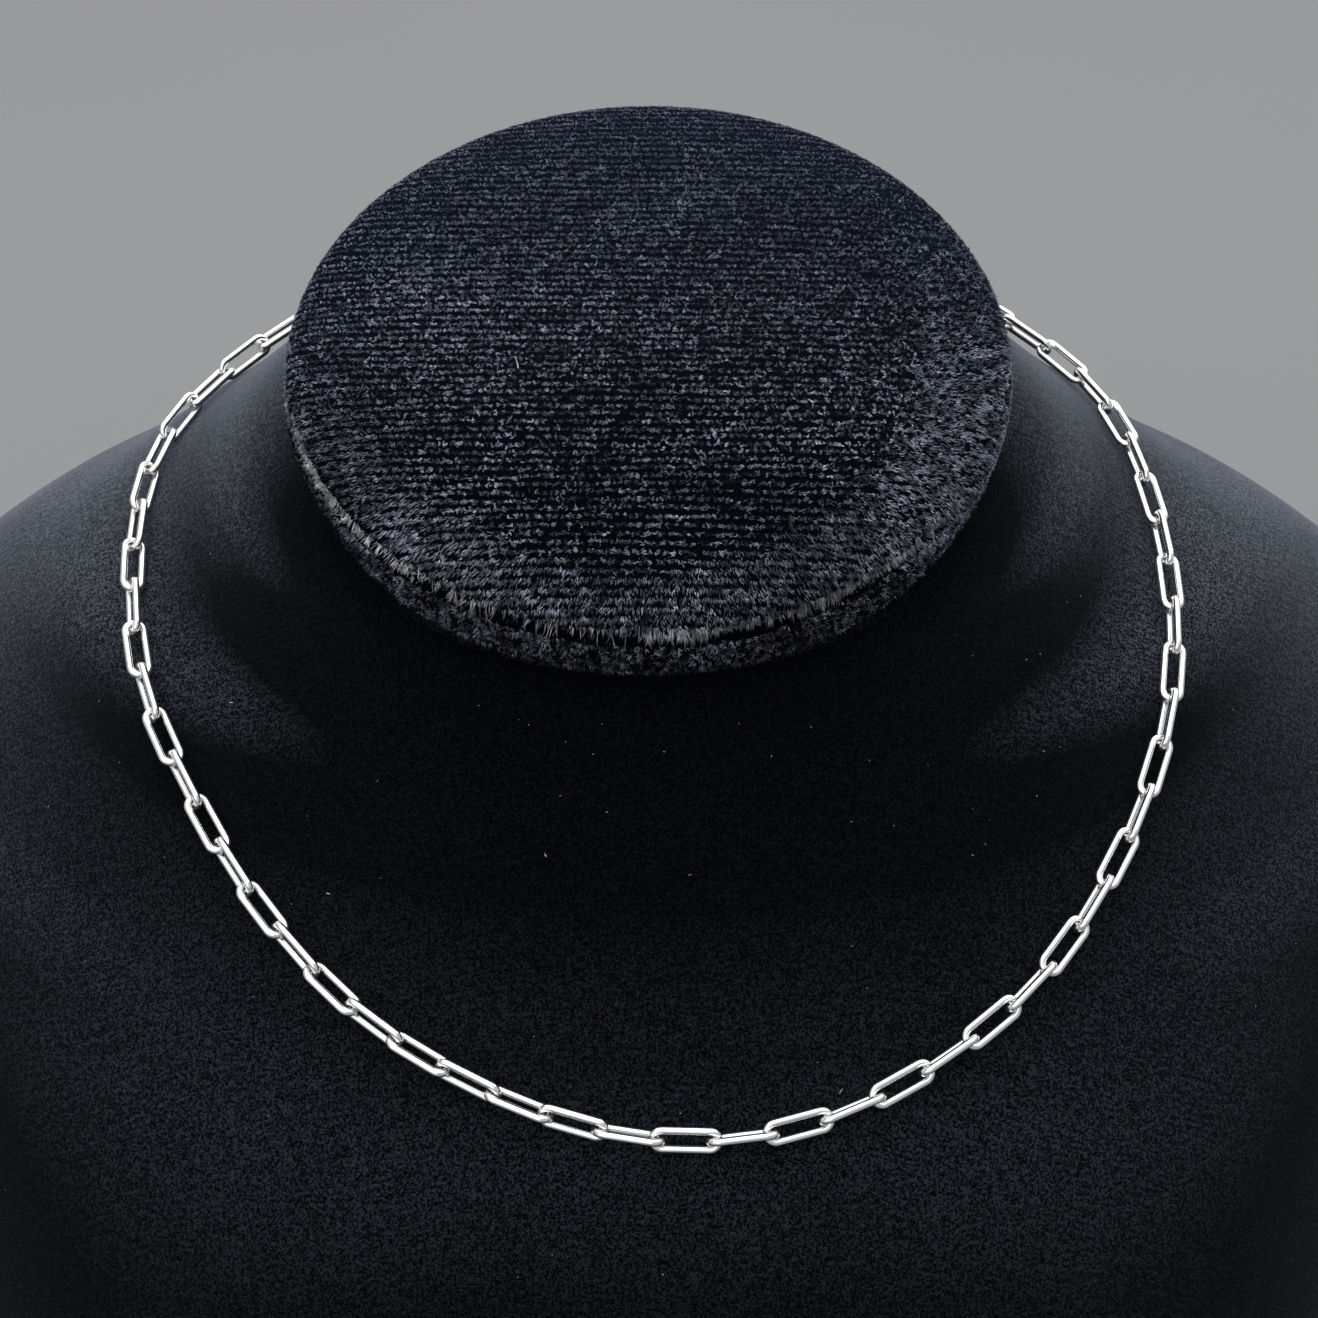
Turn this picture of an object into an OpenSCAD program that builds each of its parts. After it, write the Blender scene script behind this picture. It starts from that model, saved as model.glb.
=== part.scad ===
// Paperclip chain necklace, fastened round a padded velvet neck bust.
// The origin is the middle of the flat base: X to the viewer's right, Y to the back, Z up.

/* [Chain] */
// Thickness of the link wire
wire_d = 1; // [0.7:0.05:1.1]
// Width of a link over its wires
link_w = 3.5; // [3.4:0.1:4.4]
// Length of a link over its round ends
link_l = 9.3; // [8.4:0.1:12]
// Free play where one link hooks into the next
link_play = 0.1; // [0.1:0.02:0.2]
// Gap between the lowest wire and the velvet
rest_gap = 0.25; // [0.15:0.05:0.6]

/* [Clasp] */
// Length of the closed claw
claw_l = 9; // [8:0.5:12]
// Width of the claw
claw_w = 4.4; // [4:0.2:6]
// Thickness of the claw's wire
claw_d = 1.1; // [0.9:0.05:1.3]
// Thickness of the claw's solid heel
heel_t = 1.8; // [1.4:0.1:2.2]

/* [Bust] */
// Width over the shoulders
bust_w = 260; // [230:5:300]
// Depth from chest to back
bust_d = 205; // [180:5:230]
// Height of the middle of the neck's top over the base
seat_h = 129; // [115:1:150]
// How far the neck stands behind the middle of the base
neck_back = 35; // [28:1:42]
// Width of the neck where the cap sits
neck_w = 90; // [80:1:100]
// Depth of the neck where the cap sits
neck_d = 80; // [72:1:90]

/* [Cap] */
// Forward tilt of the neck's top
cap_tilt = 28; // [20:1:34]
// How far the cap's padded rim stands out past the neck
cap_overhang = 3.5; // [2:0.5:6]
// Thickness of the cap at its rim
cap_t = 9; // [6:0.5:14]
// Rise of the cap's stuffed middle over its rim
cap_crown = 2; // [0:0.5:5]
// Gap between the cap and the neck
seat_gap = 0.1; // [0.05:0.05:0.3]

/* [Hidden] */

velvet = "#17181c";
silver = "#d9dadd";

// Sections of the bust, from the floor to the neck's top. Each is an oval in a plane that leans forward.
// height: share of seat_h. back: share of neck_back. wide and deep: 0 at the neck's size, 1 at the bust's.
// lean: share of cap_tilt. full: where the oval is widest, 0 at its front and 1 at its back.
HEIGHT = 0;
BACK = 1;
WIDE = 2;
DEEP = 3;
LEAN = 4;
FULL = 5;
SECTIONS = [
    [0.000, -0.05, 0.88, 0.91, 0.00, 0.76],
    [0.031, -0.05, 0.94, 0.98, 0.00, 0.76],
    [0.100, -0.02, 0.98, 1.00, 0.04, 0.76],
    [0.193,  0.06, 1.00, 0.96, 0.10, 0.76],
    [0.321,  0.29, 1.00, 0.85, 0.19, 0.75],
    [0.455,  0.57, 0.98, 0.70, 0.27, 0.73],
    [0.573,  0.85, 0.88, 0.53, 0.30, 0.68],
    [0.651,  1.00, 0.75, 0.43, 0.32, 0.65],
    [0.720,  1.13, 0.62, 0.33, 0.30, 0.61],
    [0.776,  1.20, 0.49, 0.25, 0.30, 0.55],
    [0.832,  1.23, 0.35, 0.18, 0.34, 0.55],
    [0.885,  1.19, 0.23, 0.12, 0.43, 0.54],
    [0.943,  1.10, 0.12, 0.06, 0.66, 0.51],
    [1.000,  1.00, 0.00, 0.00, 1.00, 0.50]
];
section_steps = 2;
bust_sides = 80;

// Route of the chain over the velvet, by hand: bearing from the front towards +X, and level on the bust,
// which is 0 at the first section and 1 at the last.
ROUTE = [
    [-184, 0.900],
    [-155, 0.890],
    [-128, 0.860],
    [-103, 0.818],
    [-72, 0.767],
    [-48, 0.685],
    [-30, 0.586],
    [-16, 0.518],
    [-2.5, 0.476],
    [10.5, 0.476],
    [24, 0.521],
    [38, 0.595],
    [57.5, 0.711],
    [84, 0.805],
    [110, 0.838],
    [131, 0.868],
    [154, 0.890]
];
route_steps = 16;

// Turn of the links about their own axis, by hand: 0 lies flat on the velvet and 90 stands on edge.
// place: share of the way round from the clasp. one and other: the turns of each second link.
PLACE = 0;
ONE = 1;
OTHER = 2;
TURNS = [
    [0.00,  -90, -180],
    [0.15,  -26, -109],
    [0.21,   -1,  -85],
    [0.27,   38,  -40],
    [0.34,   45,  -35],
    [0.40,   53,  -44],
    [0.47,   46,  -57],
    [0.53,   25,  -78],
    [0.60,   10,  -89],
    [0.66,   -5,  -90],
    [0.73,  -14,  -98],
    [0.79,  -20, -104],
    [0.86,  -60, -150],
    [1.00,  -90, -180]
];

// Side of the cap from its seat to the edge of its top. out: share of cap_overhang. up: share of cap_t.
OUT = 0;
UP = 1;
RIM = [
    [0.00, 0.00],
    [0.62, 0.05],
    [0.94, 0.22],
    [1.00, 0.45],
    [0.90, 0.70],
    [0.68, 0.88],
    [0.40, 0.97],
    [0.00, 1.00]
];
// Rings of the crown, as shares of the cap's top
CROWN = [0.9, 0.75, 0.55, 0.35, 0.15];

// A smooth curve through four values in a row, between the middle two
function smooth(a, b, c, d, t) =
    (2 * b + (c - a) * t + (2 * a - 5 * b + 4 * c - d) * t * t + (3 * b - a - 3 * c + d) * t * t * t) / 2;

function unit(v) = v / norm(v);

// Row of the section table at a level from 0 to 1, run on in a straight line past both ends
function section_row(i) =
    i < 0 ? 2 * SECTIONS[0] - SECTIONS[1] :
    i >= len(SECTIONS) ? 2 * SECTIONS[len(SECTIONS) - 1] - SECTIONS[len(SECTIONS) - 2] :
    SECTIONS[i];
function section(level) =
    let (u = level * (len(SECTIONS) - 1), i = min(floor(u), len(SECTIONS) - 2))
    smooth(section_row(i - 1), section_row(i), section_row(i + 1), section_row(i + 2), u - i);

// Point of the velvet at a bearing and a level
function skin(bearing, level) =
    let (
        row = section(level),
        half_w = neck_w / 2 + row[WIDE] * (bust_w - neck_w) / 2,
        half_d = neck_d / 2 + row[DEEP] * (bust_d - neck_d) / 2,
        middle = (2 * row[FULL] - 1) * half_d,
        along = middle - cos(bearing) * (cos(bearing) > 0 ? half_d + middle : half_d - middle),
        lean = row[LEAN] * cap_tilt
    )
    [half_w * sin(bearing),
     row[BACK] * neck_back + along * cos(lean),
     row[HEIGHT] * seat_h + along * sin(lean)];

// Outward direction of the velvet there
nudge = 0.4;
function skin_normal(bearing, level) =
    let (
        step = nudge / 100,
        below = max(0, level - step),
        above = min(1, level + step)
    )
    unit(cross(skin(bearing + nudge, level) - skin(bearing - nudge, level),
               skin(bearing, above) - skin(bearing, below)));

// The chain's centre line, at the height where a link that stands on edge just clears the velvet
lift = link_w / 2 + rest_gap;
function route_row(i) =
    let (n = len(ROUTE), turns = floor(i / n))
    ROUTE[i - turns * n] + [360 * turns, 0];
function route_spot(u) =
    let (i = floor(u))
    smooth(route_row(i - 1), route_row(i), route_row(i + 1), route_row(i + 2), u - i);
route_count = len(ROUTE) * route_steps;
line = [
    for (k = [0 : route_count])
        let (spot = route_spot(k / route_steps), n = skin_normal(spot[0], spot[1]))
        [skin(spot[0], spot[1]) + lift * n, n]
];
// Running length up to each point of the centre line
lengths = [
    for (i = 0, sum = 0;
         i < len(line);
         i = i + 1, sum = i < len(line) ? sum + norm(line[i][0] - line[i - 1][0]) : sum)
        sum
];
loop_l = lengths[len(lengths) - 1];

// Index of the stretch of the centre line that holds a running length
function stretch(s, low, high) =
    high - low <= 1 ? low :
    let (middle = floor((low + high) / 2))
    lengths[middle] <= s ? stretch(s, middle, high) : stretch(s, low, middle);
function at(s) =
    let (
        w = s - loop_l * floor(s / loop_l),
        i = stretch(w, 0, len(lengths) - 1),
        t = (w - lengths[i]) / (lengths[i + 1] - lengths[i])
    )
    [line[i][0] + t * (line[i + 1][0] - line[i][0]), unit(line[i][1] + t * (line[i + 1][1] - line[i][1]))];

// Clasp: a closed claw and a small eye that share one solid heel. Its joints lie clasp_span apart.
eye_w = link_w;
clasp_l = claw_l + eye_w - wire_d;
clasp_span = clasp_l - claw_d - wire_d - link_play;

// Links: an odd number fills the rest of the loop, so both neighbours of the clasp stand across it
pitch = link_l - 2 * wire_d - link_play;
chain_l = loop_l - clasp_span;
link_count = 2 * ceil((chain_l / pitch - 1) / 2) + 1;
link_step = chain_l / link_count;

// Places a piece along the chain: its own X runs from one joint to the next, its own Z off the velvet
module along_chain(from, to, turn) {
    a = at(from)[0];
    b = at(to)[0];
    x = unit(b - a);
    n0 = at((from + to) / 2)[1];
    n = unit(n0 - (n0 * x) * x);
    m = cross(n, x);
    c = (a + b) / 2;
    multmatrix([
        [x[0], m[0], n[0], c[0]],
        [x[1], m[1], n[1], c[1]],
        [x[2], m[2], n[2], c[2]],
        [0, 0, 0, 1]
    ])
        rotate([turn, 0, 0])
            children();
}

// Closed ring of round wire with straight sides and half-round ends
module wire_ring(length, width, d) {
    r = (width - d) / 2;
    straight = length - width;
    for (side = [-1, 1]) {
        translate([side * straight / 2, 0, 0])
            rotate([0, 0, -side * 90])
                rotate_extrude(angle = 180, $fn = 48)
                    translate([r, 0])
                        circle(d = d, $fn = 24);
        if (straight > 0)
            translate([-straight / 2, side * r, 0])
                rotate([0, 90, 0])
                    cylinder(h = straight, d = d, $fn = 24);
    }
}

module chain() {
    color(silver)
        for (i = [0 : link_count - 1]) {
            place = (i + 0.5) / link_count;
            turn = lookup(place, [for (row = TURNS) [row[PLACE], i % 2 == 0 ? row[ONE] : row[OTHER]]]);
            along_chain(clasp_span / 2 + i * link_step, clasp_span / 2 + (i + 1) * link_step, turn)
                wire_ring(link_l, link_w, wire_d);
        }
}

module clasp() {
    middle = (claw_d - wire_d) / 2;
    color(silver)
        along_chain(-clasp_span / 2, clasp_span / 2, 0)
            translate([middle, 0, 0]) {
                translate([(clasp_l - claw_l) / 2, 0, 0]) {
                    wire_ring(claw_l, claw_w, claw_d);
                    translate([-(claw_l - claw_w) / 2, 0, 0])
                        cylinder(h = heel_t, d = claw_w - claw_d, center = true, $fn = 48);
                }
                translate([-(clasp_l - eye_w) / 2, 0, 0])
                    wire_ring(eye_w, eye_w, wire_d);
            }
}

// Closed skin over rings of points that all have the same number of sides
module ring_solid(rings) {
    sides = len(rings[0]);
    top = len(rings) - 1;
    walls = [
        for (k = [0 : top - 1], j = [0 : sides - 1])
            let (a = k * sides + j, b = k * sides + (j + 1) % sides)
            each [[a, a + sides, b + sides], [a, b + sides, b]]
    ];
    low_face = [for (j = [0 : sides - 1]) j];
    high_face = [for (j = [sides - 1 : -1 : 0]) top * sides + j];
    polyhedron([for (ring = rings) each ring], concat([low_face], walls, [high_face]), convexity = 6);
}

module bust_body() {
    levels = (len(SECTIONS) - 1) * section_steps;
    color(velvet)
        ring_solid([
            for (k = [0 : levels])
                [for (j = [0 : bust_sides - 1]) skin(j * 360 / bust_sides, k / levels)]
        ]);
}

module neck_cap() {
    rim = [for (row = RIM) [row[OUT] * cap_overhang, row[UP] * cap_t]];
    edge = rim[len(rim) - 1];
    half_w = neck_w / 2 + edge[0];
    half_d = neck_d / 2 + edge[0];
    function oval(a, b, z) =
        [for (j = [0 : bust_sides - 1]) let (t = j * 360 / bust_sides) [a * sin(t), -b * cos(t), z]];
    color(velvet)
        translate([0, neck_back, seat_h])
            rotate([cap_tilt, 0, 0])
                translate([0, 0, seat_gap])
                    ring_solid(concat(
                        [for (spot = rim) oval(neck_w / 2 + spot[0], neck_d / 2 + spot[0], spot[1])],
                        [for (share = CROWN)
                            oval(half_w * share, half_d * share, edge[1] + cap_crown * (1 - share * share))]
                    ));
}

bust_body();
neck_cap();
chain();
clasp();
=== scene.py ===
import math

import bpy
import numpy as np
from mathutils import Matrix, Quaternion, Vector


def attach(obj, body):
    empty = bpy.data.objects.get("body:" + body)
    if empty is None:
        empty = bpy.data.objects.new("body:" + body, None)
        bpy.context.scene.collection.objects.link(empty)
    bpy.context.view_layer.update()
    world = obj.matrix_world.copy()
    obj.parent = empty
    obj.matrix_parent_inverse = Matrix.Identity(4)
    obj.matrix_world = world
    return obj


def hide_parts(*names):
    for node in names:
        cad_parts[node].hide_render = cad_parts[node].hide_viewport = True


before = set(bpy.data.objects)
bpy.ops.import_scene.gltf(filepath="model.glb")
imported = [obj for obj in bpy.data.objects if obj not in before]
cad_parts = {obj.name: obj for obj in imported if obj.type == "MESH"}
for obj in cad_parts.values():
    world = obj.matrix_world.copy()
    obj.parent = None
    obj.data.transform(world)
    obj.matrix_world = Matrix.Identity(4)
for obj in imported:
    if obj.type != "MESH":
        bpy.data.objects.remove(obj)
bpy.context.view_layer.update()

# Looks of the paperclip chain on its velvet neck bust. Lengths are in metres, and in millimetres
# where MM follows. Bearings are in degrees from the front, and more than 0 to the right. Amounts
# in a formula that have no name are given there.
MM = 0.001
SEED = 7

# Sizes of the bust and its cap, as in the CAD model
BUST_W, BUST_D = 260 * MM, 205 * MM
SEAT_H, NECK_BACK = 129 * MM, 35 * MM
NECK_W, NECK_D = 90 * MM, 80 * MM
CAP_TILT = 28
SEAT_GAP = 0.1 * MM
CAP_TOP = 11 * MM

# Sections of the bust, from the floor to the neck's top, as in the CAD model: height and place
# backwards as shares of the neck's, width and depth from the neck's, 0, to the widest, 1, lean as a
# share of the cap's tilt, and the share of the depth in front of the widest place
HEIGHT, BACK, WIDE, DEEP, LEAN, FULL = range(6)
SECTIONS = np.array([
    [0.000, -0.05, 0.88, 0.91, 0.00, 0.76],
    [0.031, -0.05, 0.94, 0.98, 0.00, 0.76],
    [0.100, -0.02, 0.98, 1.00, 0.04, 0.76],
    [0.193, 0.06, 1.00, 0.96, 0.10, 0.76],
    [0.321, 0.29, 1.00, 0.85, 0.19, 0.75],
    [0.455, 0.57, 0.98, 0.70, 0.27, 0.73],
    [0.573, 0.85, 0.88, 0.53, 0.30, 0.68],
    [0.651, 1.00, 0.75, 0.43, 0.32, 0.65],
    [0.720, 1.13, 0.62, 0.33, 0.30, 0.61],
    [0.776, 1.20, 0.49, 0.25, 0.30, 0.55],
    [0.832, 1.23, 0.35, 0.18, 0.34, 0.55],
    [0.885, 1.19, 0.23, 0.12, 0.43, 0.54],
    [0.943, 1.10, 0.12, 0.06, 0.66, 0.51],
    [1.000, 1.00, 0.00, 0.00, 1.00, 0.50],
])

# Side of the cap from its seat to the edge of its crown: out from the neck and up from the seat.
# At the front the velvet folds in below the edge, which leaves a crease between the padded side and
# the top. CREASE is the crease's row, and LIP the row where the top bulges out again over it.
FOLDED = np.array([
    [0.0, 0.0],
    [1.9, 0.2],
    [3.2, 1.0],
    [4.0, 2.5],
    [4.2, 4.2],
    [4.0, 5.6],
    [3.5, 6.6],
    [2.8, 7.0],
    [2.1, 6.6],
    [1.6, 7.0],
    [1.8, 7.8],
    [1.9, 8.4],
    [1.4, 9.0],
    [0.2, 9.5],
    [-2.0, 9.9],
    [-5.0, 10.3],
]) * MM
CREASE, LIP = 8, 10

# The same at the sides and the back, where the edge is only rolled over
ROLLED = np.array([
    [0.0, 0.0],
    [1.2, 0.2],
    [2.0, 1.0],
    [2.6, 2.4],
    [2.9, 4.2],
    [3.1, 5.8],
    [3.0, 7.0],
    [2.6, 7.9],
    [1.7, 8.8],
    [0.4, 9.4],
    [-2.0, 9.9],
    [-5.0, 10.3],
]) * MM

# Half the width and depth of the cap's crown
CROWN_W, CROWN_D = NECK_W / 2 + FOLDED[-1, 0], NECK_D / 2 + FOLDED[-1, 0]

# Rows of pile on the cloth over the cap: half of the cloth's side, the distance from row to row as
# far as the middle, and how much more it is for each metre from there to the front
CLOTH_HALF = 58 * MM
ROW_PITCH, ROW_WIDENING = 1.06 * MM, 0.006

# Thickness of the fibres at their roots, and for the rings of a fibre the shares of its length and
# its thickness: a short one has only its root and its tip, and a longer one bends in the middle
TOP_FIBRE, CREASE_FIBRE, SIDE_FIBRE = 0.18 * MM, 0.13 * MM, 0.16 * MM
LINT_FIBRE, HAIR = 0.2 * MM, 0.28 * MM
SHORT = ((0.0, 1.0),)
LONGER = ((0.0, 1.0), (0.55, 0.7))

# Tufts along a row on the top: distance between them, range that it varies in, and fibres in each
TUFT_GAP, TUFT_STEPS, TUFT_FIBRES = 0.30 * MM, (0.4, 1.6), 6

# Waves of the rows: height and length in millimetres, and shift from row to row
ROW_WAVES = ((0.17, 9, 0.35), (0.09, 2.3, 1.9))

# How far tufts stray from their row, in millimetres, then how much more at the right, and the place
# and width over which that grows
STRAY = 0.13
RIGHT_STRAY, RIGHT_FROM, RIGHT_OVER = 0.26, 14 * MM, 24 * MM

# How far past the lip the pile goes on over the rolled edge
ROLLED_REACH = 4.5 * MM

# Tones of the tufts on the top: spread of the mixed ones and how far they clump, the even tone that
# takes over at the back, a painted haze of sheen, with its share and the place and depth over which
# it grows, and how much lighter the left is, with the same
MIXED_TONES, CLUMPING = (1.35, 1.5), 0.06
EVEN_TONE, EVEN_SHARE, EVEN_FROM, EVEN_OVER = 0.455, 0.86, -12 * MM, 50 * MM
LEFT_LIGHTER, LEFT_FROM, LEFT_OVER = 0.13, 15 * MM, 20 * MM

# Combing outwards near the rim, in shares of the crown: where it starts, how much sooner that is at
# the right and at the left, and the share over which it grows. Then the same for lying flat.
COMB_FROM, COMB_RIGHT, COMB_LEFT, COMB_OVER = 0.93, 0.09, 0.03, 0.13
FLAT_FROM, FLAT_OVER = 0.90, 0.12

# Fibres on the top: range of their lean along the row, range of the tufts' lengths, and spread of
# their roots across and along, in millimetres
TOP_LEANS, TOP_LENGTHS = (0.2, 1.0), (0.34, 0.64)
ROOTS_ACROSS, ROOTS_ALONG = 0.09, 0.13

# Directions on the top: how far up, and how much less where it is combed or flat, how far along the
# row and how far to the front, and how much they scatter
UPRIGHT, PRESSED, ALONG_ROW, TO_FRONT, TOP_SCATTER = 0.55, 0.3, 0.8, 0.25, 0.24

# Range of a fibre's length in its tuft or bundle
VARIED = (0.7, 1.1)

# Bundles along the crease and fibres in each. The pile is frayed up to a bearing, and split from a
# width further on. It bridges the crease round another bearing, for a half-width.
BUNDLES, BUNDLE_FIBRES = 1300, 6
FRAYED_TO, FRAYED_OVER = -36, 16
BRIDGE, BRIDGE_HALF = -30, 17

# Chance that a bundle is there: anywhere, and how much more where the pile has split, where it is
# frayed and where it bridges the crease
ANYWHERE, IF_SPLIT, IF_FRAYED, IF_BRIDGED = 0.35, 0.45, 0.4, 0.4

# Tufts on the cap's side, fibres in each, and range of their lengths in millimetres
SIDE_TUFTS, SIDE_TUFT_FIBRES, SIDE_LENGTHS = 13500, 5, (0.3, 0.75)

# Where the crease falls in furthest: bearing, half-width, and the share of the side left bare there
RECESS, RECESS_HALF, RECESS_BARE = 12, 26, 0.16

# Bearings between which the pile along the crease and the pile on the cap's side grow
CREASE_SPAN, SIDE_SPAN = (-76, 58), (-76, 66)

# Places along the crease where the pile has split: bearing, half-width and amount
SPLITS = [
    [-66, 5, 0.7],
    [-54, 7, 1.0],
    [-42, 6, 0.9],
    [-28, 6, 0.8],
    [-15, 5, 0.7],
    [-3, 7, 1.0],
    [7, 5, 0.8],
    [18, 3, 0.4],
    [27, 6, 0.9],
    [42, 4, 0.4],
    [58, 6, 0.5],
    [74, 5, 0.4],
]

# Specks of lint that stand out: bearing, level on the bust, length in millimetres and
# tone. The ranges of the same for the faint ones follow.
LINT = [
    [-43, 0.73, 0.5, 0.9],
    [-8, 0.66, 0.5, 0.9],
    [33, 0.56, 0.4, 0.9],
    [52, 0.47, 0.6, 0.9],
    [-60, 0.50, 0.5, 0.9],
    [1, 0.42, 0.4, 0.9],
    [12, 0.49, 0.9, 0.9],
    [-24, 0.60, 0.8, 0.9],
]
FAINT_LINT = ((-100, 100), (0.25, 0.84), (0.12, 0.35), (0.1, 0.6))

# The hair on the cap: its root on the cloth, how high it starts, its direction and its length
HAIR_ROOT, HAIR_LIFT = (-17.2 * MM, -2.6 * MM), 0.4 * MM
HAIR_WAY, HAIR_LENGTH, HAIR_RINGS = (0.35, -1.0, 0.16), 2.1 * MM, 8

# Where the tones of the velvet change from the front to the back: low on the chest, at its top and
# beside the neck, then on the cap from its middle to its back. They bound a painted shade low on
# the chest, a painted sheen beside and behind the neck, and a painted haze of sheen at the cap's
# back
CHEST_LOW, CHEST_TOP, NECK_SIDE = -100 * MM, -60 * MM, -10 * MM
CAP_MIDDLE, CAP_BACK = 10 * MM, 65 * MM

# Scales of the noises in the materials, in cells for each metre
ROW_DRIFT, ROW_FADE, CLOTH_TUFTS, CLOTH_GRAIN, CLOTH_PATCHES = 90, 140, 1300, 3200, 35
PILE_TUFTS, PILE_GRAIN, PILE_PATCHES = 620, 5000, 38
TARNISH, DRAWING_MARKS, FLOOR_CLOUDS = 220, 2600, 3

# The photograph's camera: place, directions in degrees, lens and sensor in millimetres, clipping
CAMERA_PLACE = (3.2 * MM, -207.4 * MM, 256.7 * MM)
AZIMUTH, ELEVATION, ROLL = 0.45, 35.46, -0.22
LENS, SENSOR = 54.63, 36
CLIP_START, CLIP_END = 0.01, 50

# The studio: half of the floor's side, the world's light, the spot that the softboxes look at, and
# each softbox with its name, place, width and height, and power in watts
FLOOR_HALF = 3.0
WORLD_COLOUR, WORLD_STRENGTH = (0.93, 0.96, 1.0, 1.0), 0.52
LIT_SPOT = (0, 0, 0.08)
SOFTBOXES = (
    ("top_softbox", (0.1, 0.35, 1.1), (2.4, 1.8), 21),
    ("front_softbox", (-0.5, -0.9, 0.9), (1.8, 1.8), 8.5),
)


def fade(value, start, width):
    """0 up to the start, then rising evenly to 1 over the width."""
    return np.clip((value - start) / width, 0, 1)


def bell(value, centre, half):
    """1 at the centre, falling off smoothly on both sides."""
    return np.exp(-((value - centre) / half) ** 2)


def towards(turn, bearing, gain, offset):
    """How much a bearing in radians counts as being towards another, in degrees, from 0 to 1."""
    return np.clip(gain * np.cos(turn - math.radians(bearing)) + offset, 0, 1)


def chosen(keep, *arrays):
    return (one[keep] for one in arrays)


def repeated(each, *arrays):
    """Rows of the arrays, each as many times as a tuft has fibres."""
    return (np.repeat(one, each, axis=0) for one in arrays)


def unit(v):
    return v / np.linalg.norm(v, axis=-1, keepdims=True)


def smooth(rows, u):
    """A smooth curve through the rows, at a fractional row number."""
    low = np.clip(np.floor(u).astype(int), 0, len(rows) - 2)
    t = (u - low)[..., None]
    longer = np.vstack([2 * rows[0] - rows[1], rows, 2 * rows[-1] - rows[-2]])
    a, b, c, d = (longer[low + k] for k in range(4))
    square = (2 * a - 5 * b + 4 * c - d) * t**2
    cube = (3 * b - a - 3 * c + d) * t**3
    return (2 * b + (c - a) * t + square + cube) / 2


def running_length(points):
    """Length along the first axis of an array of points, from its start."""
    steps = np.linalg.norm(np.diff(points, axis=0), axis=-1)
    return np.concatenate([np.zeros((1,) + steps.shape[1:]), np.cumsum(steps, axis=0)])


def skin(bearing, level):
    """Point of the bust's velvet at a bearing and a level from 0 to 1."""
    bearing, level = np.broadcast_arrays(np.radians(bearing), level)
    row = smooth(SECTIONS, level * (len(SECTIONS) - 1))
    half_w = NECK_W / 2 + row[..., WIDE] * (BUST_W - NECK_W) / 2
    half_d = NECK_D / 2 + row[..., DEEP] * (BUST_D - NECK_D) / 2
    middle = (2 * row[..., FULL] - 1) * half_d
    front = np.cos(bearing) > 0
    along = middle - np.cos(bearing) * np.where(front, half_d + middle, half_d - middle)
    lean = np.radians(row[..., LEAN] * CAP_TILT)
    return np.stack([
        half_w * np.sin(bearing),
        row[..., BACK] * NECK_BACK + along * np.cos(lean),
        row[..., HEIGHT] * SEAT_H + along * np.sin(lean),
    ], -1)


def skin_normal(bearing, level, nudge=0.4, step=0.004):
    """Direction out of the velvet, from points a nudge of bearing and a step of level apart."""
    across = skin(bearing + nudge, level) - skin(bearing - nudge, level)
    up = skin(bearing, np.minimum(1, level + step)) - skin(bearing, np.maximum(0, level - step))
    return unit(np.cross(across, up))


def cap_to_part(points):
    """Turns points of the cap's own frame, which lies on the neck's top, into the part's frame."""
    x, y, z = np.moveaxis(points, -1, 0)
    tilt = math.radians(CAP_TILT)
    z = z + SEAT_GAP
    return np.stack([
        x,
        NECK_BACK + y * math.cos(tilt) - z * math.sin(tilt),
        SEAT_H + y * math.sin(tilt) + z * math.cos(tilt),
    ], -1)


def add_object(name, data):
    made = bpy.data.objects.new(name, data)
    bpy.context.scene.collection.objects.link(made)
    return made


def add_piece(name, points, faces, weave):
    """A smooth mesh piece. weave holds each point's place on the flat cloth."""
    mesh = bpy.data.meshes.new(name)
    mesh.from_pydata(points.reshape(-1, 3).tolist(), [], faces)
    mesh.validate()
    mesh.polygons.foreach_set("use_smooth", [True] * len(mesh.polygons))
    corner = np.zeros(len(mesh.loops), int)
    mesh.loops.foreach_get("vertex_index", corner)
    layer = mesh.uv_layers.new(name="weave")
    layer.data.foreach_set("uv", weave.reshape(-1, 2)[corner].astype(np.float32).ravel())
    return add_object(name, mesh)


def ring_faces(rings, sides):
    """Faces of a skin over rings of points, closed by a flat face at each end."""
    faces = []
    for k in range(rings - 1):
        for j in range(sides):
            a, b = k * sides + j, k * sides + (j + 1) % sides
            faces.append((a, b, b + sides, a + sides))
    faces.append(tuple(range(sides))[::-1])
    faces.append(tuple((rings - 1) * sides + j for j in range(sides)))
    return faces


def body_mesh(rings=190, sides=240, samples=800):
    """The bust's body, in rings at even steps up its skin. Its ribs run across the photograph."""
    bearing = np.arange(sides) * 360 / sides
    fine = np.linspace(0, 1, samples)
    spread = running_length(skin(bearing[None, :], fine[:, None])).mean(1)
    level = np.interp(np.linspace(0, spread[-1], rings), spread, fine)
    points = skin(bearing[None, :], level[:, None])
    x, y, z = np.moveaxis(points, -1, 0)
    ribs = 0.81 * z + 0.58 * y + 0.36 * np.hypot(x, 40 * MM)
    return add_piece("velvet_body", points, ring_faces(rings, sides), np.stack([x, ribs], -1))


def cap_side(rows, steps=6):
    """Side of the cap from its crown's edge down to its seat, and the running length along it."""
    side = smooth(rows, np.linspace(0, len(rows) - 1, (len(rows) - 1) * steps + 1))[::-1]
    return side, running_length(side)


def rolled_share(turn, middle=-2, folded=28, width=44):
    """How far the edge is rolled over rather than folded, at a bearing in radians.

    It is 0 up to folded degrees on each side of the middle, and 1 from a width further on.
    """
    t = fade(np.abs(np.degrees(turn) - middle), folded, width)
    return t * t * (3 - 2 * t)


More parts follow.
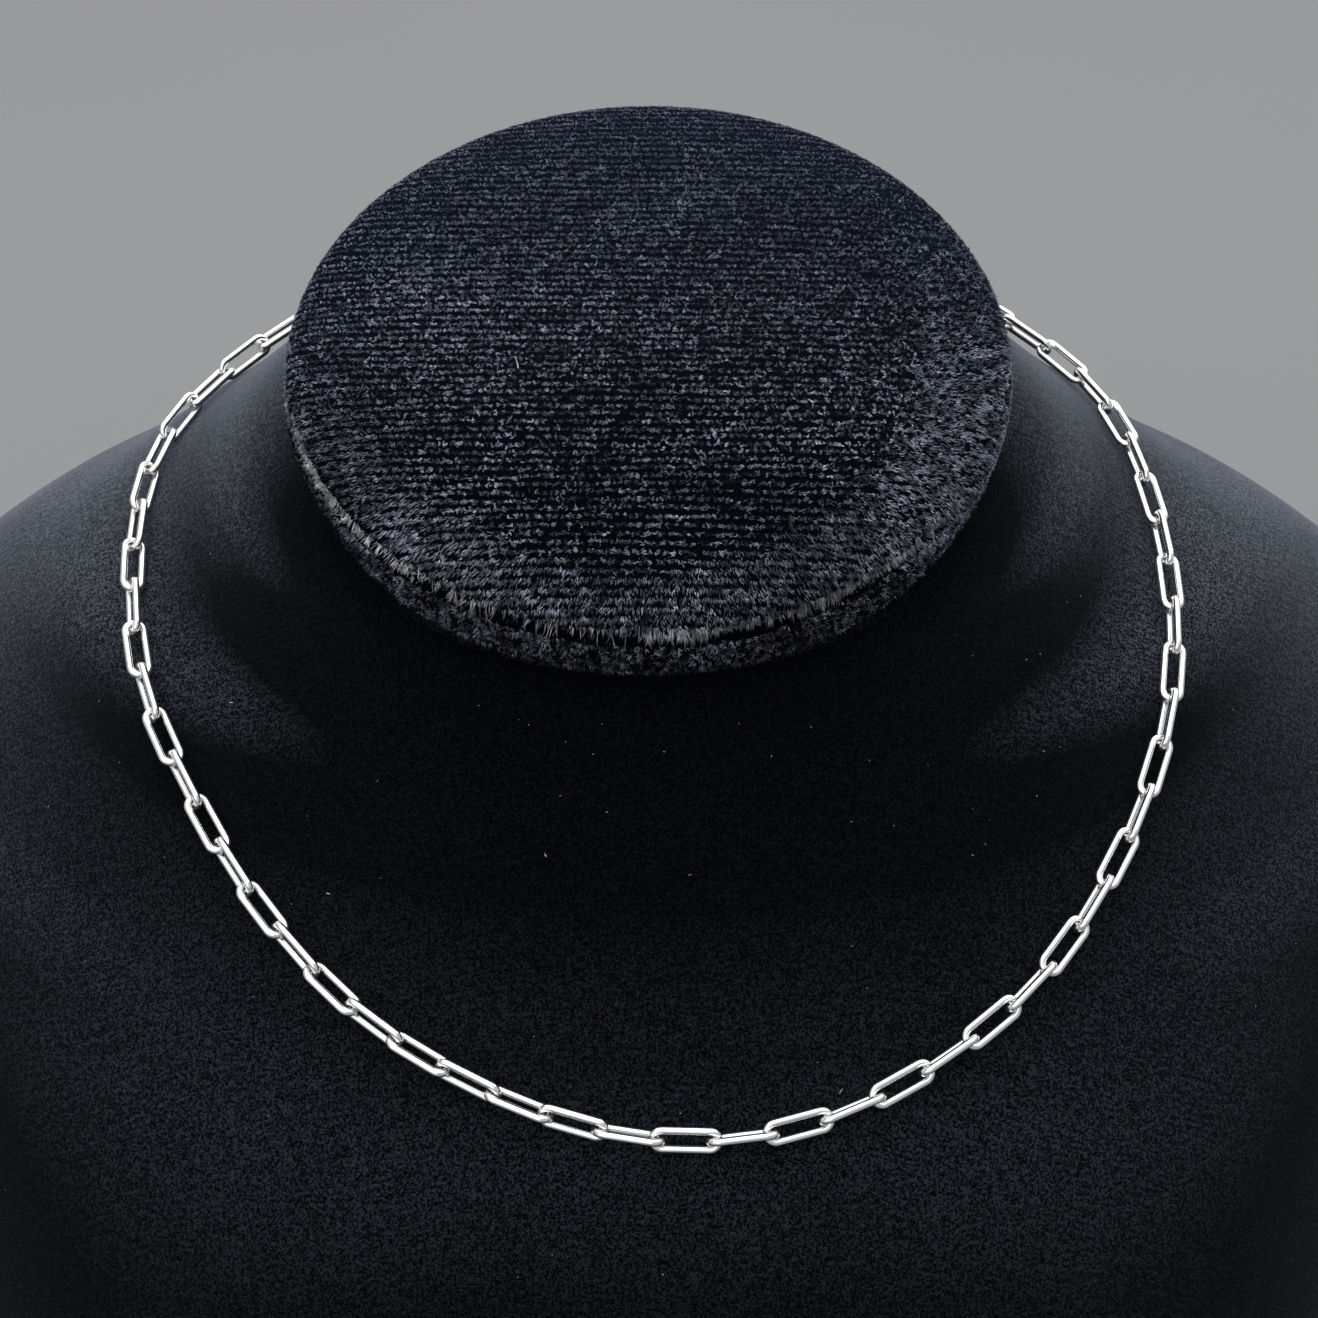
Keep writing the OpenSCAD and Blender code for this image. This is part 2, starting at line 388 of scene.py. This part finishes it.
def cap_point(turn, share, down):
    """Point of the cap in its own frame, at a bearing in radians.

    share runs over the crown from its middle, 0, to its edge, 1, and down runs on from there to the
    seat.
    """
    spots = []
    for rows in (FOLDED, ROLLED):
        side, length = cap_side(rows)
        spots.append([np.interp(down * length[-1], length, side[:, axis]) for axis in (0, 1)])
    rolled = rolled_share(turn)
    out, up = ((1 - rolled) * one + rolled * other for one, other in zip(*spots))
    edge = FOLDED[-1, 1]
    return np.stack([
        (NECK_W / 2 + out) * share * np.sin(turn),
        -(NECK_D / 2 + out) * share * np.cos(turn),
        up + (CAP_TOP - edge) * (1 - share**2),
    ], -1)


def cap_mesh(sides=320, crown_rings=30, side_rings=76, middle=0.02, stretch=0.25):
    """The padded cap. middle is the share of the crown that its middle face takes up."""
    turn = np.radians(np.arange(sides) * 360 / sides)
    share = np.concatenate([np.linspace(middle, 1, crown_rings), np.ones(side_rings)])
    down = np.concatenate([np.zeros(crown_rings), np.arange(1, side_rings + 1) / side_rings])
    points = cap_point(turn[None, :], share[:, None], down[:, None])
    weave = points[..., :2] * (1 + stretch * down[:, None, None])
    faces = [face[::-1] for face in ring_faces(len(points), sides)]
    return add_piece("velvet_cap", cap_to_part(points), faces, weave)


def on_cap(x, y):
    """Point of the cap under a place on the cloth, and how far past the crown it lies."""
    share = np.maximum(np.hypot(x / CROWN_W, y / CROWN_D), 1e-6)
    turn = np.arctan2(x / CROWN_W, -y / CROWN_D)
    past = np.maximum(share - 1, 0) / share * np.hypot(x, y)
    rolled = rolled_share(turn)
    whole = (1 - rolled) * cap_side(FOLDED)[1][-1] + rolled * cap_side(ROLLED)[1][-1]
    return cap_point(turn, np.minimum(share, 1), np.minimum(past / whole, 1)), past


def cap_axes(x, y, nudge=0.1 * MM):
    """Directions of the cap's skin under a place on the cloth: out of it, across and along it."""
    across = unit(on_cap(x + nudge, y)[0] - on_cap(x - nudge, y)[0])
    normal = unit(np.cross(across, on_cap(x, y + nudge)[0] - on_cap(x, y - nudge)[0]))
    return normal, across, np.cross(normal, across)


def cap_rows():
    """Places of the rows of pile on the cloth, from the back to the front."""
    rows = [CLOTH_HALF]
    while rows[-1] > -CLOTH_HALF:
        rows.append(rows[-1] - ROW_PITCH - ROW_WIDENING * max(0, -rows[-1]))
    return rows


def cap_tufts(rng):
    """Places of the tufts on the cloth over the cap, in rows that wander.

    The rows lose their order at the right. They reach down to the lip at the front, and further on
    over the rolled edge elsewhere.
    """
    # Enough for a little more than the cloth's width
    count = int(2.1 * CLOTH_HALF / TUFT_GAP)
    x, y = [], []
    for k, row in enumerate(cap_rows()):
        place = np.cumsum(rng.uniform(*TUFT_STEPS, count)) * TUFT_GAP - CLOTH_HALF
        waves = sum(
            high * np.sin(place / (long * MM) + shift * k) for high, long, shift in ROW_WAVES
        )
        x.append(place)
        y.append(row + (waves + rng.normal(0, STRAY, count)) * MM)
    x, y = np.concatenate(x), np.concatenate(y)
    y = y + rng.normal(0, RIGHT_STRAY, len(y)) * fade(x, RIGHT_FROM, RIGHT_OVER) * MM
    side, length = cap_side(FOLDED)
    lip = length[np.argmin(np.abs(side - FOLDED[LIP]).sum(1))]
    reach = lip + ROLLED_REACH * rolled_share(np.arctan2(x, -y))
    return chosen(on_cap(x, y)[1] < reach, x, y)


def cap_tones(rng, x, y):
    """Tones of the tufts on the top of the cap."""
    clump = np.sin(x / (0.9 * MM) + 2.1 * np.sin(y / (1.1 * MM)))
    clump = clump * np.sin(x / (2.7 * MM) + 1.3 * y / MM)
    mixed = rng.beta(*MIXED_TONES, len(x)) + CLUMPING * clump
    # Painted haze of sheen: towards the back the tones even out to one mid tone
    even = EVEN_SHARE * fade(y, EVEN_FROM, EVEN_OVER)
    return mixed * (1 - even) + EVEN_TONE * even + LEFT_LIGHTER * fade(-x, LEFT_FROM, LEFT_OVER)


def combing(x, y):
    """How far the pile is combed outwards and lies flat at a place, and how far right that is."""
    share = np.hypot(x / CROWN_W, y / CROWN_D)
    turn = np.arctan2(x, -y)
    right = towards(turn, 80, 1.5, -0.3)
    left = towards(turn, -50, 1.5, -0.3)
    comb = fade(share, COMB_FROM - COMB_RIGHT * right - COMB_LEFT * left, COMB_OVER)
    return comb * towards(turn, 8, 1.2, 0.5), fade(share, FLAT_FROM, FLAT_OVER), right


def cap_pile(rng):
    """Roots, directions, lengths and tones of the pile on the top of the cap, in rows of tufts.

    Near the rim, at the front and on the right, the cloth bends over the padding and the pile is
    combed outwards.
    """
    x, y = cap_tufts(rng)
    n = len(x)
    tone = cap_tones(rng, x, y)
    lean = rng.choice([-1.0, 1.0], n) * rng.uniform(*TOP_LEANS, n)
    tall = rng.uniform(*TOP_LENGTHS, n)

    # From here on there is a row for each fibre
    x, y, tone, lean, tall = repeated(TUFT_FIBRES, x, y, tone, lean, tall)
    n = len(x)
    comb, flat, right = combing(x, y)
    x = x + rng.normal(0, ROOTS_ACROSS, n) * (1 + 1.2 * comb) * MM
    y = y + rng.normal(0, ROOTS_ALONG, n) * (1 + 0.8 * comb) * MM
    spot = on_cap(x, y)[0]
    normal, across, along = cap_axes(x, y)
    outward = unit(np.stack([x, y, np.zeros(n)], -1))
    outward = unit(outward - (outward * normal).sum(1, keepdims=True) * normal)
    in_row = across * lean[:, None] * ALONG_ROW - along * TO_FRONT
    blend = comb[:, None]
    up = UPRIGHT - PRESSED * np.maximum(comb, flat)[:, None]
    ways = normal * up + (1 - blend) * in_row + blend * outward
    ways = ways + rng.normal(0, TOP_SCATTER, (n, 3)) * (1 - 0.4 * blend)
    tall = tall * rng.uniform(*VARIED, n) * (1 + 0.35 * comb) * (1 - 0.4 * flat * (1 - comb))
    tone = tone * (1 - 0.45 * comb) + (0.26 + 0.10 * right) * comb
    tone = tone + rng.normal(0, 0.05, n) * (1 + 1.5 * comb)
    return spot - normal * 0.05 * MM, ways, tall * MM, np.clip(tone, 0, 1)


def fibres(name, roots, ways, lengths, thickness, rng, tone, curl, rings_at):
    """Bent, tapered fibres, each a closed needle with three sides.

    The cloth map of a fibre holds its tone from 0 to 1 across, and the share of its length from
    root to tip along.
    """
    count = len(roots)
    ways = unit(ways)
    side = unit(np.cross(ways, rng.normal(size=(count, 3))))
    other = np.cross(ways, side)
    bend = rng.normal(size=(count, 1)) * curl * side + rng.normal(size=(count, 1)) * curl * other
    length = lengths[:, None]
    rings = []
    for along, width in rings_at:
        centre = roots + ways * along * length + bend * length * along**2
        for k in range(3):
            turn = 2 * math.pi * k / 3
            spoke = side * math.cos(turn) + other * math.sin(turn)
            rings.append(centre + spoke * thickness / 2 * width)
    rings.append(roots + ways * length + bend * length)
    tip = 3 * len(rings_at)
    faces = []
    for first in range(0, count * (tip + 1), tip + 1):
        for k in range(3):
            n = (k + 1) % 3
            for low in range(first, first + tip - 3, 3):
                faces.append((low + k, low + n, low + 3 + n, low + 3 + k))
            last = first + tip - 3
            faces.append((last + k, last + n, first + tip))
        faces.append((first + 2, first + 1, first))
    share = np.repeat([along for along, width in rings_at] + [1.0], [3] * len(rings_at) + [1])
    weave = np.stack(np.broadcast_arrays(tone[:, None], share[None, :]), -1)
    return add_piece(name, np.stack(rings, 1), faces, weave)


def split_amount(bearing):
    """How far the pile along the crease has split at a bearing: 0 is closed and about 1 is open."""
    centre, half, amount = np.array(SPLITS, float).T
    return (amount * bell(bearing[:, None], centre, half)).sum(1)


def on_side(turn, out, up):
    """Point beside the cap in its own frame and the direction outwards, at a bearing in radians."""
    x, y = np.sin(turn), -np.cos(turn)
    spot = np.stack([(NECK_W / 2 + out) * x, (NECK_D / 2 + out) * y, up], -1)
    return spot, np.stack([x, y, np.zeros(len(turn))], -1)


def turned(local, ways):
    """Roots and directions of the cap's own frame, in the part's frame."""
    roots = cap_to_part(local)
    return roots, cap_to_part(local + unit(ways) * MM) - roots


def crease_pile(rng):
    """Pile over the crease at the front of the cap.

    It is frayed at the left, bridges the crease, and is split into a comb in the middle.
    """
    bearing = rng.uniform(*CREASE_SPAN, BUNDLES)
    amount = np.minimum(split_amount(bearing), 1)
    frontal = fade(bearing, FRAYED_TO, FRAYED_OVER)
    bridge = bell(bearing, BRIDGE, BRIDGE_HALF)
    gaps = np.sin(bearing * 3.7) + np.sin(bearing * 9.7 + 1) + 1.6 * (1 - frontal)
    chance = ANYWHERE + IF_SPLIT * amount + IF_FRAYED * (1 - frontal) + IF_BRIDGED * bridge
    keep = (rng.uniform(0, 1, BUNDLES) < chance) & (gaps > -0.1)
    bearing, amount, frontal, bridge = chosen(keep, bearing, amount, frontal, bridge)
    n = len(bearing)
    tall = rng.uniform(0.4, 0.9, n) + rng.uniform(0.2, 0.5 + 1.2 * frontal) * amount + 0.55 * bridge
    tone = rng.uniform(0.05, 0.45, n) + rng.uniform(0.1, 0.60, n) * np.maximum(amount, 1 - frontal)
    streak = 0.5 + 0.5 * np.sin(bearing * 1.3) * np.sin(bearing * 0.37 + 1)
    tone = tone + rng.uniform(0.0, 0.8, n) * streak * (1 - frontal)
    lean = rng.normal(0, 1, (n, 3)) * (0.14 + 0.3 * (1 - frontal[:, None]))
    spread = rng.uniform(0.06, 0.20, n)

    # From here on there is a row for each fibre
    bearing, frontal, tall, tone, lean, spread = repeated(
        BUNDLE_FIBRES, bearing, frontal, tall, tone, lean, spread
    )
    n = len(bearing)
    turn = np.radians(bearing + rng.normal(0, 1.2, n) * spread)
    edge_out, edge_up = FOLDED[LIP + 1]
    out = edge_out + rng.normal(-0.15, 0.12, n) * MM + 0.5 * rolled_share(turn) * MM
    up = edge_up + rng.normal(0.15, 0.24, n) * MM - 0.4 * (1 - frontal) * rng.uniform(0, 1, n) * MM
    local, outward = on_side(turn, out, up)
    fall = np.array([0.0, 0.0, -0.8])
    ways = outward * rng.uniform(0.35, 0.7, (n, 1)) + fall + lean + rng.normal(0, 0.09, (n, 3))
    tall = tall * rng.uniform(*VARIED, n)
    tone = np.clip(tone + rng.normal(0, 0.08, n), 0, 1)
    roots, ways = turned(local, ways)
    return fibres("crease_pile", roots, ways, tall * MM, CREASE_FIBRE, rng, tone, 0.1, LONGER)


def side_pile(rng):
    """Rubbed pile in loose tufts on the cap's padded side, which shows below the crease.

    depth runs from 0 at the seat to 1 at the crease. The pile is ragged low down and left out where
    the crease falls in furthest.
    """
    bearing = rng.uniform(*SIDE_SPAN, SIDE_TUFTS)
    depth = rng.uniform(0, 1, SIDE_TUFTS) ** 0.8
    clump = np.sin(bearing * 2.3 + 5 * depth) + np.sin(bearing * 0.9 - 4 * depth + 1)
    clump = clump + np.sin(bearing * 5.1 + 9 * depth)
    top = 1 - RECESS_BARE * bell(bearing, RECESS, RECESS_HALF)
    ragged = 0.27 + 0.08 * np.sin(bearing * 0.55) + 0.07 * np.sin(bearing * 1.7 + 2)
    ragged = ragged + rng.normal(0, 0.12, SIDE_TUFTS)
    keep = (rng.uniform(-2.6, 1.8, SIDE_TUFTS) < clump) & (depth < top) & (depth > ragged)
    bearing, depth, clump = chosen(keep, bearing, depth, clump)
    n = len(bearing)
    tone = rng.beta(0.6, 1.2, n) * (0.70 + 0.20 * depth) + 0.04 * clump
    # Painted shade: the side pile darkens towards the left, where the side lies in shadow
    tone = tone * np.maximum(0.15, fade(bearing, -64, 22))
    lean = rng.normal(0, 0.6, (n, 3))

    # From here on there is a row for each fibre
    bearing, depth, tone, lean = repeated(SIDE_TUFT_FIBRES, bearing, depth, tone, lean)
    n = len(bearing)
    turn = np.radians(bearing + rng.normal(0, 0.17, n))
    row = 0.5 + np.clip(depth + rng.normal(0, 0.02, n), 0, 1) * (CREASE - 0.9)
    rolled = rolled_share(turn)[:, None]
    at = (1 - rolled) * smooth(FOLDED, row) + rolled * smooth(ROLLED, row * 0.75)
    local, outward = on_side(turn, at[:, 0] - 0.08 * MM, at[:, 1])
    rise = np.array([0.0, 0.0, 1.0]) * (0.1 + 0.8 * depth[:, None] ** 2)
    ways = outward + rise + lean + rng.normal(0, 0.22, (n, 3))
    tall = rng.uniform(*SIDE_LENGTHS, n) * MM
    roots, ways = turned(local, ways)
    tone = np.clip(tone + rng.normal(0, 0.05, n), 0, 1)
    return fibres("side_pile", roots, ways, tall, SIDE_FIBRE, rng, tone, 0.35, SHORT)


def lint(rng, count=150):
    """Specks of lint: the few that stand out, then many faint ones over the front."""
    bearing, level, long, tone = (
        np.concatenate([known, rng.uniform(low, high, count)])
        for known, (low, high) in zip(np.array(LINT, float).T, FAINT_LINT)
    )
    normal = skin_normal(bearing, level)
    roots = skin(bearing, level) + normal * 0.08 * MM
    ways = unit(np.cross(normal, rng.normal(size=normal.shape))) + normal * 0.2
    return fibres("lint", roots, ways, long * MM, LINT_FIBRE, rng, tone, 0.5, LONGER)


def cap_hair(rng):
    """The one curved hair on the top of the cap."""
    x, y = HAIR_ROOT
    spot = on_cap(np.array([x]), np.array([y]))[0] + np.array([0.0, 0.0, HAIR_LIFT])
    roots, ways = turned(spot, np.array([HAIR_WAY]))
    rings_at = tuple((k / HAIR_RINGS, 1 - 0.3 * k / HAIR_RINGS) for k in range(HAIR_RINGS))
    length, tone = np.array([HAIR_LENGTH]), np.array([1.0])
    return fibres("cap_hair", roots, ways, length, HAIR, rng, tone, 0.3, rings_at)


def add_node(tree, kind, inputs=None, **settings):
    """A shader node; inputs are values or the sockets that feed them."""
    made = tree.nodes.new(kind)
    for key, value in settings.items():
        setattr(made, key, value)
    for key, value in (inputs or {}).items():
        if isinstance(value, bpy.types.NodeSocket):
            tree.links.new(value, made.inputs[key])
        else:
            made.inputs[key].default_value = value
    return made


def maths(tree, operation, *values):
    return add_node(tree, "ShaderNodeMath", dict(enumerate(values)), operation=operation).outputs[0]


def times(tree, one, other):
    return maths(tree, "MULTIPLY", one, other)


def plus(tree, one, other):
    return maths(tree, "ADD", one, other)


def ramp(tree, value, low, high, start=0.0, end=1.0):
    """A value from low to high, brought to the range from start to end and kept within it."""
    return add_node(tree, "ShaderNodeMapRange", {
        "Value": value, "From Min": low, "From Max": high, "To Min": start, "To Max": end,
    }).outputs["Result"]


def mix_colour(tree, share, one, other):
    made = add_node(tree, "ShaderNodeMix", data_type="RGBA")
    for key, value in (("Factor_Float", share), ("A_Color", one), ("B_Color", other)):
        socket = next(s for s in made.inputs if s.identifier == key)
        if isinstance(value, bpy.types.NodeSocket):
            tree.links.new(value, socket)
        else:
            socket.default_value = value
    return next(s for s in made.outputs if s.identifier == "Result_Color")


def noise(tree, vector, scale, detail=2.0, roughness=0.5):
    return add_node(tree, "ShaderNodeTexNoise", {
        "Vector": vector, "Scale": scale, "Detail": detail, "Roughness": roughness,
    }).outputs["Fac"]


def part_of(tree, vector, axis):
    return add_node(tree, "ShaderNodeSeparateXYZ", {0: vector}).outputs[axis]


def weave_map(tree):
    return add_node(tree, "ShaderNodeUVMap", uv_map="weave").outputs["UV"]


def coordinates(tree, kind="Object"):
    return add_node(tree, "ShaderNodeTexCoord").outputs[kind]


def add_bump(tree, shader, height, strength, distance):
    bump = add_node(tree, "ShaderNodeBump", {
        "Height": height, "Strength": strength, "Distance": distance,
    })
    tree.links.new(bump.outputs["Normal"], shader.inputs["Normal"])


def new_material(name):
    material = bpy.data.materials.new(name)
    material.use_nodes = True
    tree = material.node_tree
    return material, tree, tree.nodes["Principled BSDF"]


def grey(value, blue=1.0):
    return (value, value, value * blue, 1.0)


def ink(value):
    """A bluish black."""
    return (value, value * 1.4, value * 3.2, 1.0)


def ash(value):
    """A slightly bluish grey."""
    return (value, value * 1.08, value * 1.36, 1.0)


def cloth_shine(shader, sheen):
    """Soft shine of pile at a low angle, with no gloss."""
    shader.inputs["Specular IOR Level"].default_value = 0.01
    shader.inputs["Sheen Weight"].default_value = sheen
    shader.inputs["Sheen Roughness"].default_value = 0.38
    shader.inputs["Sheen Tint"].default_value = (0.78, 0.85, 1.0, 1.0)


def painted_back_haze(tree, place, front, back):
    """A dark tone that changes from the front of the cap to its back, where it is a painted haze of
    sheen.
    """
    depth = part_of(tree, place, "Y")
    return mix_colour(tree, ramp(tree, depth, CAP_MIDDLE, CAP_BACK), front, back)


def velvet(name, dark, light, painted_sheen_tone, rib_pitch, rib_share, depth, sheen, back=None):
    """Ribbed velvet: faint rows over dark ground, with a grain of fibre ends.

    The ends turn from light to the tone of a painted sheen where the velvet faces up or sideways,
    beside and behind the neck, and turn darker low at the front, a painted shade. back is the
    ground's tone at the back, if it differs, a painted haze of sheen.
    """
    material, tree, shader = new_material(name)
    place = coordinates(tree)
    drift = ramp(tree, noise(tree, place, ROW_DRIFT), 0.3, 0.7, -0.9, 0.9)
    down = part_of(tree, weave_map(tree), "Y")
    row = plus(tree, maths(tree, "DIVIDE", down, rib_pitch), drift)
    rib = ramp(tree, maths(tree, "SINE", times(tree, row, 2 * math.pi)), -0.6, 1.0)
    faint = ramp(tree, noise(tree, place, ROW_FADE), 0.4, 0.62, 0.0, rib_share)
    ridge = plus(tree, 1.0, times(tree, faint, maths(tree, "SUBTRACT", rib, 0.5)))

    # Grain in tufts that are combed downwards, and in light and dark patches
    combed = add_node(
        tree, "ShaderNodeVectorMath", {0: place, 1: (1.0, 1.0, 0.5)}, operation="MULTIPLY"
    ).outputs[0]
    tuft = ramp(tree, noise(tree, combed, CLOTH_TUFTS, 2.0, 0.6), 0.35, 0.65, 0.5, 1.5)
    grain = noise(tree, place, CLOTH_GRAIN, 2.0, 0.7)
    patch = ramp(tree, noise(tree, place, CLOTH_PATCHES, 3.0), 0.3, 0.7, 0.8, 1.2)
    fuzz = ramp(tree, grain, 0.44, 0.62, 0.0, 1.1)
    share = times(tree, times(tree, tuft, ridge), times(tree, fuzz, patch))

    # Tones of the fibre ends: a painted sheen where they face up or sideways, and painted shade low
    # on the chest
    facing = coordinates(tree, "Normal")
    up = ramp(tree, part_of(tree, facing, "Z"), 0.70, 0.98)
    across = maths(tree, "ABSOLUTE", part_of(tree, facing, "X"))
    sideways_sheen = ramp(tree, across, 0.5, 0.9, 0.0, 0.95)
    behind = part_of(tree, place, "Y")
    sheen_facing = maths(tree, "MAXIMUM", up, sideways_sheen)
    painted_sheen = times(tree, sheen_facing, ramp(tree, behind, CHEST_TOP, NECK_SIDE))
    # Painted shade: the fibre ends darken low on the chest
    painted_shade_low = mix_colour(tree, ramp(tree, behind, CHEST_LOW, CHEST_TOP, 0.25, 1.0), dark, light)
    tip = mix_colour(tree, painted_sheen, painted_shade_low, painted_sheen_tone)
    # The ground's tone at the back of the cap, if it differs, is a painted haze of sheen
    base = painted_back_haze(tree, place, dark, back or dark)
    tree.links.new(mix_colour(tree, share, base, tip), shader.inputs["Base Color"])

    relief = plus(tree, times(tree, times(tree, rib, faint), 0.4), grain)
    add_bump(tree, shader, relief, 0.8, depth)
    shader.inputs["Roughness"].default_value = 0.95
    cloth_shine(shader, sheen)
    return material


def pile(name, dark, light, sheen, contrast, patchy, back=None):
    """Single fibres of pile: each has its own tone and is lighter towards its tip, a painted shade
    at the roots.
    """
    material, tree, shader = new_material(name)
    cloth = weave_map(tree)
    place = coordinates(tree)
    own = maths(tree, "POWER", part_of(tree, cloth, "X"), contrast)
    # Painted shade: each fibre darkens towards its root deep in the pile
    tip = ramp(tree, part_of(tree, cloth, "Y"), 0.1, 0.9, 0.35, 1.0)
    tuft = ramp(tree, noise(tree, place, PILE_TUFTS, 1.0), 0.38, 0.62, 0.45, 1.3)
    spots = noise(tree, place, PILE_PATCHES, 3.0)
    patch = ramp(tree, spots, 0.3, 0.7, 1 - patchy, 1 + patchy / 2)
    share = times(tree, times(tree, own, tip), times(tree, tuft, patch))
    # The ground's tone at the back of the cap, if it differs, is a painted haze of sheen
    base = painted_back_haze(tree, place, dark, back or dark)
    tree.links.new(mix_colour(tree, share, base, light), shader.inputs["Base Color"])
    add_bump(tree, shader, noise(tree, place, PILE_GRAIN, 2.0, 0.6), 0.4, 0.05 * MM)
    tree.links.new(ramp(tree, share, 0, 1, 0.95, 0.75), shader.inputs["Roughness"])
    cloth_shine(shader, sheen)
    return material


def silver():
    """Polished silver wire: faint drawing marks, a little tarnish and slightly uneven polish."""
    material, tree, shader = new_material("polished_silver")
    place = coordinates(tree)
    cloud = ramp(tree, noise(tree, place, TARNISH, 3.0), 0.35, 0.75)
    tone = mix_colour(tree, cloud, (0.92, 0.92, 0.91, 1), (0.84, 0.83, 0.81, 1))
    tree.links.new(tone, shader.inputs["Base Color"])
    fine = noise(tree, place, DRAWING_MARKS, 3.0, 0.6)
    tree.links.new(ramp(tree, fine, 0.3, 0.7, 0.16, 0.26), shader.inputs["Roughness"])
    add_bump(tree, shader, fine, 0.1, 0.003 * MM)
    shader.inputs["Metallic"].default_value = 1.0
    return material


def paint(piece, material):
    piece.data.materials.clear()
    piece.data.materials.append(material)


def aim(thing, place, way, roll=0.0):
    """Puts a camera or a light at a place, looking along a direction."""
    thing.location = place
    thing.rotation_mode = "QUATERNION"
    thing.rotation_quaternion = way.to_track_quat("-Z", "Y") @ Quaternion((0, 0, 1), roll)


def place_camera():
    data = bpy.data.cameras.new("photo_camera")
    data.sensor_width = SENSOR
    data.lens = LENS
    data.clip_start = CLIP_START
    data.clip_end = CLIP_END
    camera = add_object("photo_camera", data)
    azimuth, elevation, roll = (math.radians(angle) for angle in (AZIMUTH, ELEVATION, ROLL))
    back = Vector((
        math.sin(azimuth) * math.cos(elevation),
        -math.cos(azimuth) * math.cos(elevation),
        math.sin(elevation),
    ))
    aim(camera, CAMERA_PLACE, -back, roll)
    bpy.context.scene.camera = camera


def add_light(name, place, size, power):
    data = bpy.data.lights.new(name, "AREA")
    data.shape = "RECTANGLE"
    data.size, data.size_y = size
    data.energy = power
    aim(add_object(name, data), place, Vector(LIT_SPOT) - Vector(place))


def add_floor():
    mesh = bpy.data.meshes.new("floor")
    corners = [(-1, -1), (1, -1), (1, 1), (-1, 1)]
    mesh.from_pydata([(x * FLOOR_HALF, y * FLOOR_HALF, 0) for x, y in corners], [], [(0, 1, 2, 3)])
    floor = add_object("floor", mesh)
    material, tree, shader = new_material("pale_floor")
    clouds = noise(tree, coordinates(tree), FLOOR_CLOUDS, 3.0)
    tree.links.new(mix_colour(tree, clouds, grey(0.205), grey(0.225)), shader.inputs["Base Color"])
    shader.inputs["Roughness"].default_value = 0.9
    paint(floor, material)


def add_studio():
    world = bpy.data.worlds.new("studio")
    world.use_nodes = True
    background = world.node_tree.nodes["Background"]
    background.inputs["Color"].default_value = WORLD_COLOUR
    background.inputs["Strength"].default_value = WORLD_STRENGTH
    bpy.context.scene.world = world
    for softbox in SOFTBOXES:
        add_light(*softbox)


place_camera()
add_floor()
add_studio()

# Materials
# The cap's ground is lighter and bluer at the back: painted haze of sheen
cap_velvet = velvet(
    "cap_velvet", dark=ink(0.0008), light=ash(0.002), painted_sheen_tone=ash(0.002), rib_pitch=1.0 * MM,
    rib_share=0.1, depth=0.1 * MM, sheen=0.02, back=ink(0.0056),
)
# The body's velvet has a painted sheen where it faces up or sideways, and painted shade low on the
# chest
body_velvet = velvet(
    "body_velvet", dark=ink(0.0002), light=ash(0.0036), painted_sheen_tone=ash(0.15), rib_pitch=0.95 * MM,
    rib_share=0.6, depth=0.08 * MM, sheen=0.36,
)
# The top pile's ground is lighter and bluer at the back of the cap: painted haze of sheen
top_fibre = pile(
    "top_pile", dark=ink(0.0010), light=ash(0.86), sheen=0.02, contrast=1.9, patchy=0.5,
    back=ink(0.0088),
)
split_fibre = pile(
    "split_pile", dark=ink(0.002), light=(0.93, 0.95, 1.0, 1.0), sheen=0.02, contrast=1.0,
    patchy=0.2,
)
side_fibre = pile(
    "side_pile", dark=ink(0.0006), light=ash(1.0), sheen=0.02, contrast=2.3, patchy=0.5,
)
lint_fibre = pile(
    "lint_fibre", dark=grey(0.08, 1.1), light=grey(0.75), sheen=0.0, contrast=1.0, patchy=0.1,
)
metal = silver()

# The padded bust
body = body_mesh()
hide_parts("bust_body")

cap = cap_mesh()
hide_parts("neck_cap")

# Pile and lint. The pile on the top is one piece for each third, from the front to the back.
rng = np.random.default_rng(SEED)
velvets = [(body, body_velvet), (cap, cap_velvet)]
roots, ways, tall, tone = cap_pile(rng)
third = np.searchsorted(np.quantile(roots[:, 1], [1 / 3, 2 / 3]), roots[:, 1], side="right")
for k, name in enumerate(("pile_front", "pile_middle", "pile_back")):
    part = third == k
    here, way = turned(roots[part], ways[part])
    piece = fibres(name, here, way, tall[part], TOP_FIBRE, rng, tone[part], 0.18, SHORT)
    velvets.append((piece, top_fibre))
velvets.append((crease_pile(rng), split_fibre))
velvets.append((side_pile(rng), side_fibre))
velvets.append((lint(rng), lint_fibre))
velvets.append((cap_hair(rng), lint_fibre))
for piece, material in velvets:
    paint(piece, material)
    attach(piece, "root")

for name in ("chain", "clasp"):
    paint(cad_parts[name], metal)

bpy.context.scene.view_settings.view_transform = "Standard"
bpy.context.view_layer.update()
